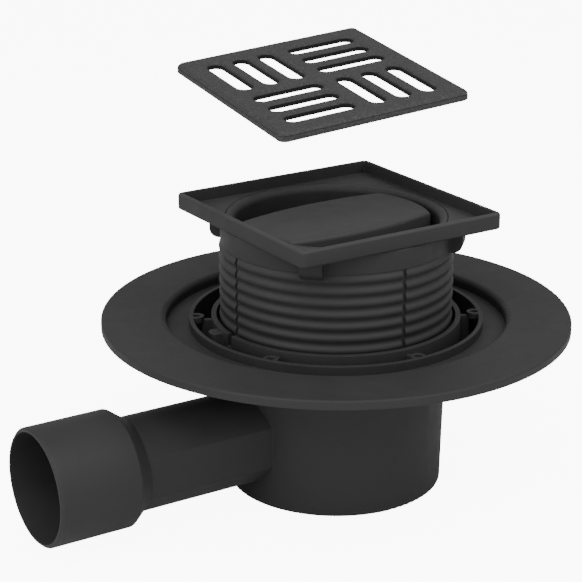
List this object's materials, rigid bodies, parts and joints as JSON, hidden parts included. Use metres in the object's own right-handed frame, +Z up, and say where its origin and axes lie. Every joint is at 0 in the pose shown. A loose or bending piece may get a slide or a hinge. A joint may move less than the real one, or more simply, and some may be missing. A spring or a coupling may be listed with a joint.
{
  "type": "floor gully with trap",
  "caption": "Floor gully: round pot with side outlet, membrane flange, turning and sliding riser with square frame, lift-out water trap and slotted grate lifted off.",
  "frame": {"origin": "centre of the flat base of the pot, on the axis of the drain", "axes": "+Z up along the drain axis, -X along the outlet, the frame's sides parallel to X and Y"},
  "size_m": [0.2465, 0.2022, 0.1824],
  "materials": {
    "black_plastic": "fine matt, slightly sheened",
    "seal_rubber": "matt"
  },
  "bodies": {
    "drain_body": {"trap_body": "black_plastic"},
    "seal_ring": {"riser_seal": "seal_rubber"},
    "riser_set": {"riser": "black_plastic", "trap_cup": "black_plastic", "trap_bell": "black_plastic", "cup_seal": "seal_rubber", "grate": "black_plastic"}
  },
  "joints": [
    {"name": "riser_turn", "type": "hinge", "parent": "drain_body", "child": "seal_ring", "pos_m": [0, 0, 0.0674], "axis": [0, 0, 1], "continuous": true},
    {"name": "riser_height", "type": "slide", "parent": "seal_ring", "child": "riser_set", "axis": [0, 0, 1], "range_m": [-0.007, 0.003]}
  ]
}
